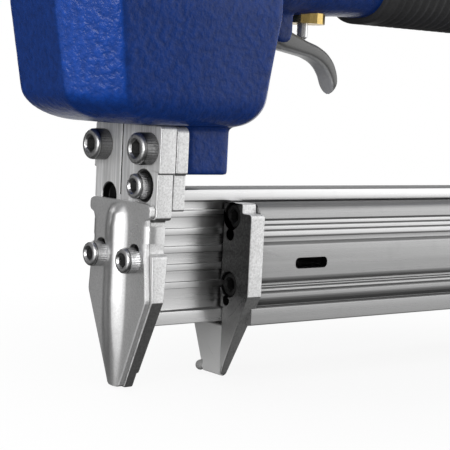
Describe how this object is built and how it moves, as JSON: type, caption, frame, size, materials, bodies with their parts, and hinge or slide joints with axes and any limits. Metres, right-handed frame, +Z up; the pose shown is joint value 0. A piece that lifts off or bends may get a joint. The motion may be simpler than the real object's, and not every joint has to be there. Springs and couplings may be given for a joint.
{
  "type": "flooring nailer",
  "caption": "Pneumatic flooring nailer: blue cast body and handle, plated nose with a ridged cover, hook trigger and a ribbed magazine shell that slides back along a rail.",
  "frame": {"origin": "middle of the nose tip's flat end, where the nail leaves", "axes": "+Z up along the drive axis, +X from the nose towards the handle's end and the magazine's rear, -Y the side that the picture shows"},
  "size_m": [0.2846, 0.0624, 0.238],
  "materials": {
    "blue_paint": "gloss",
    "brushed_steel": "satin",
    "cast_steel": "matte",
    "satin_steel": "satin",
    "dark_screw": "satin",
    "zinc_screw": "satin",
    "aluminium": "satin",
    "die_cast": "satin",
    "black_plastic": "matte",
    "rubber": "matte",
    "brass": "satin",
    "spring_steel": "satin"
  },
  "bodies": {
    "tool": {"air_plug": "brass", "backing_plate": "cast_steel", "bracket_screw_front": "zinc_screw", "bracket_screw_rear": "zinc_screw", "bumper": "rubber", "cap_gasket": "rubber", "cap_screw_1": "dark_screw", "cap_screw_2": "dark_screw", "cap_screw_3": "dark_screw", "cap_screw_4": "dark_screw", "cover_screw_far": "zinc_screw", "cover_screw_near": "zinc_screw", "cylinder_cap": "blue_paint", "cylinder_sleeve": "aluminium", "deflector_screw": "dark_screw", "driver_guide": "brushed_steel", "end_cap_gasket": "rubber", "end_cap_screw_1": "zinc_screw", "end_cap_screw_2": "zinc_screw", "end_cap_screw_3": "zinc_screw", "end_cap_screw_4": "zinc_screw", "fixed_rail": "aluminium", "grip_sleeve": "rubber", "guide_screw_far": "dark_screw", "guide_screw_middle": "zinc_screw", "guide_screw_near": "dark_screw", "handle_end_cap": "blue_paint", "head_valve_spring": "spring_steel", "housing": "blue_paint", "nose_cover": "satin_steel", "rail_screw_front": "zinc_screw", "rail_screw_rear": "zinc_screw", "rear_bracket": "blue_paint", "trigger_pin": "zinc_screw", "trigger_valve_body": "brass", "trigger_valve_spring": "spring_steel"},
    "deflector": {"exhaust_deflector": "black_plastic"},
    "head_valve": {"head_valve": "black_plastic"},
    "driver": {"piston": "aluminium", "piston_ring": "rubber", "driver_blade": "brushed_steel", "blade_pin": "spring_steel"},
    "trigger": {"trigger": "die_cast"},
    "valve_stem": {"trigger_valve_stem": "zinc_screw"},
    "magazine": {"claw": "cast_steel", "slide_cover": "aluminium", "claw_screw_lower_far": "dark_screw", "claw_screw_lower_near": "dark_screw", "claw_screw_upper_far": "dark_screw", "claw_screw_upper_near": "dark_screw", "slide_end_plate": "black_plastic", "end_plate_screw_far": "zinc_screw", "end_plate_screw_near": "zinc_screw", "pusher_rod": "spring_steel", "pusher_spring": "spring_steel", "latch_pin": "zinc_screw"},
    "pusher": {"nail_pusher": "die_cast"},
    "latch": {"latch_lever": "die_cast"}
  },
  "joints": [
    {"name": "trigger_pull", "type": "hinge", "parent": "tool", "child": "trigger", "pos_m": [0.055, 0, 0.1215], "axis": [0, -1, 0], "range_deg": [0, 10], "stiffness_Nm_per_rad": 0.6, "springref_deg": -5.73},
    {"name": "valve_stem_push", "type": "slide", "parent": "tool", "child": "valve_stem", "axis": [0, 0, 1], "range_m": [0, 0.0028], "deforming": ["trigger_valve_spring"]},
    {"name": "driver_stroke", "type": "slide", "parent": "tool", "child": "driver", "axis": [0, 0, -1], "range_m": [0, 0.0645]},
    {"name": "head_valve_lift", "type": "slide", "parent": "tool", "child": "head_valve", "axis": [0, 0, 1], "range_m": [0, 0.004], "stiffness_N_per_m": 1500, "springref_m": -0.004, "deforming": ["head_valve_spring"]},
    {"name": "magazine_slide", "type": "slide", "parent": "tool", "child": "magazine", "axis": [1, 0, 0], "range_m": [-0.0322, 0.09]},
    {"name": "pusher_slide", "type": "slide", "parent": "magazine", "child": "pusher", "axis": [1, 0, 0], "range_m": [0, 0.12], "stiffness_N_per_m": 15, "springref_m": -0.1, "deforming": ["pusher_spring"]},
    {"name": "latch_turn", "type": "hinge", "parent": "magazine", "child": "latch", "pos_m": [0.2221, 0, 0.0125], "axis": [0, -1, 0], "range_deg": [-4, 10], "stiffness_Nm_per_rad": 0.3},
    {"name": "deflector_turn", "type": "hinge", "parent": "tool", "child": "deflector", "pos_m": [0.0043, 0, 0.2277], "axis": [0, 0, 1], "continuous": true}
  ],
  "couplings": [
    {"joint": "valve_stem_push", "follows": "trigger_pull", "m_per_rad": 0.016}
  ]
}
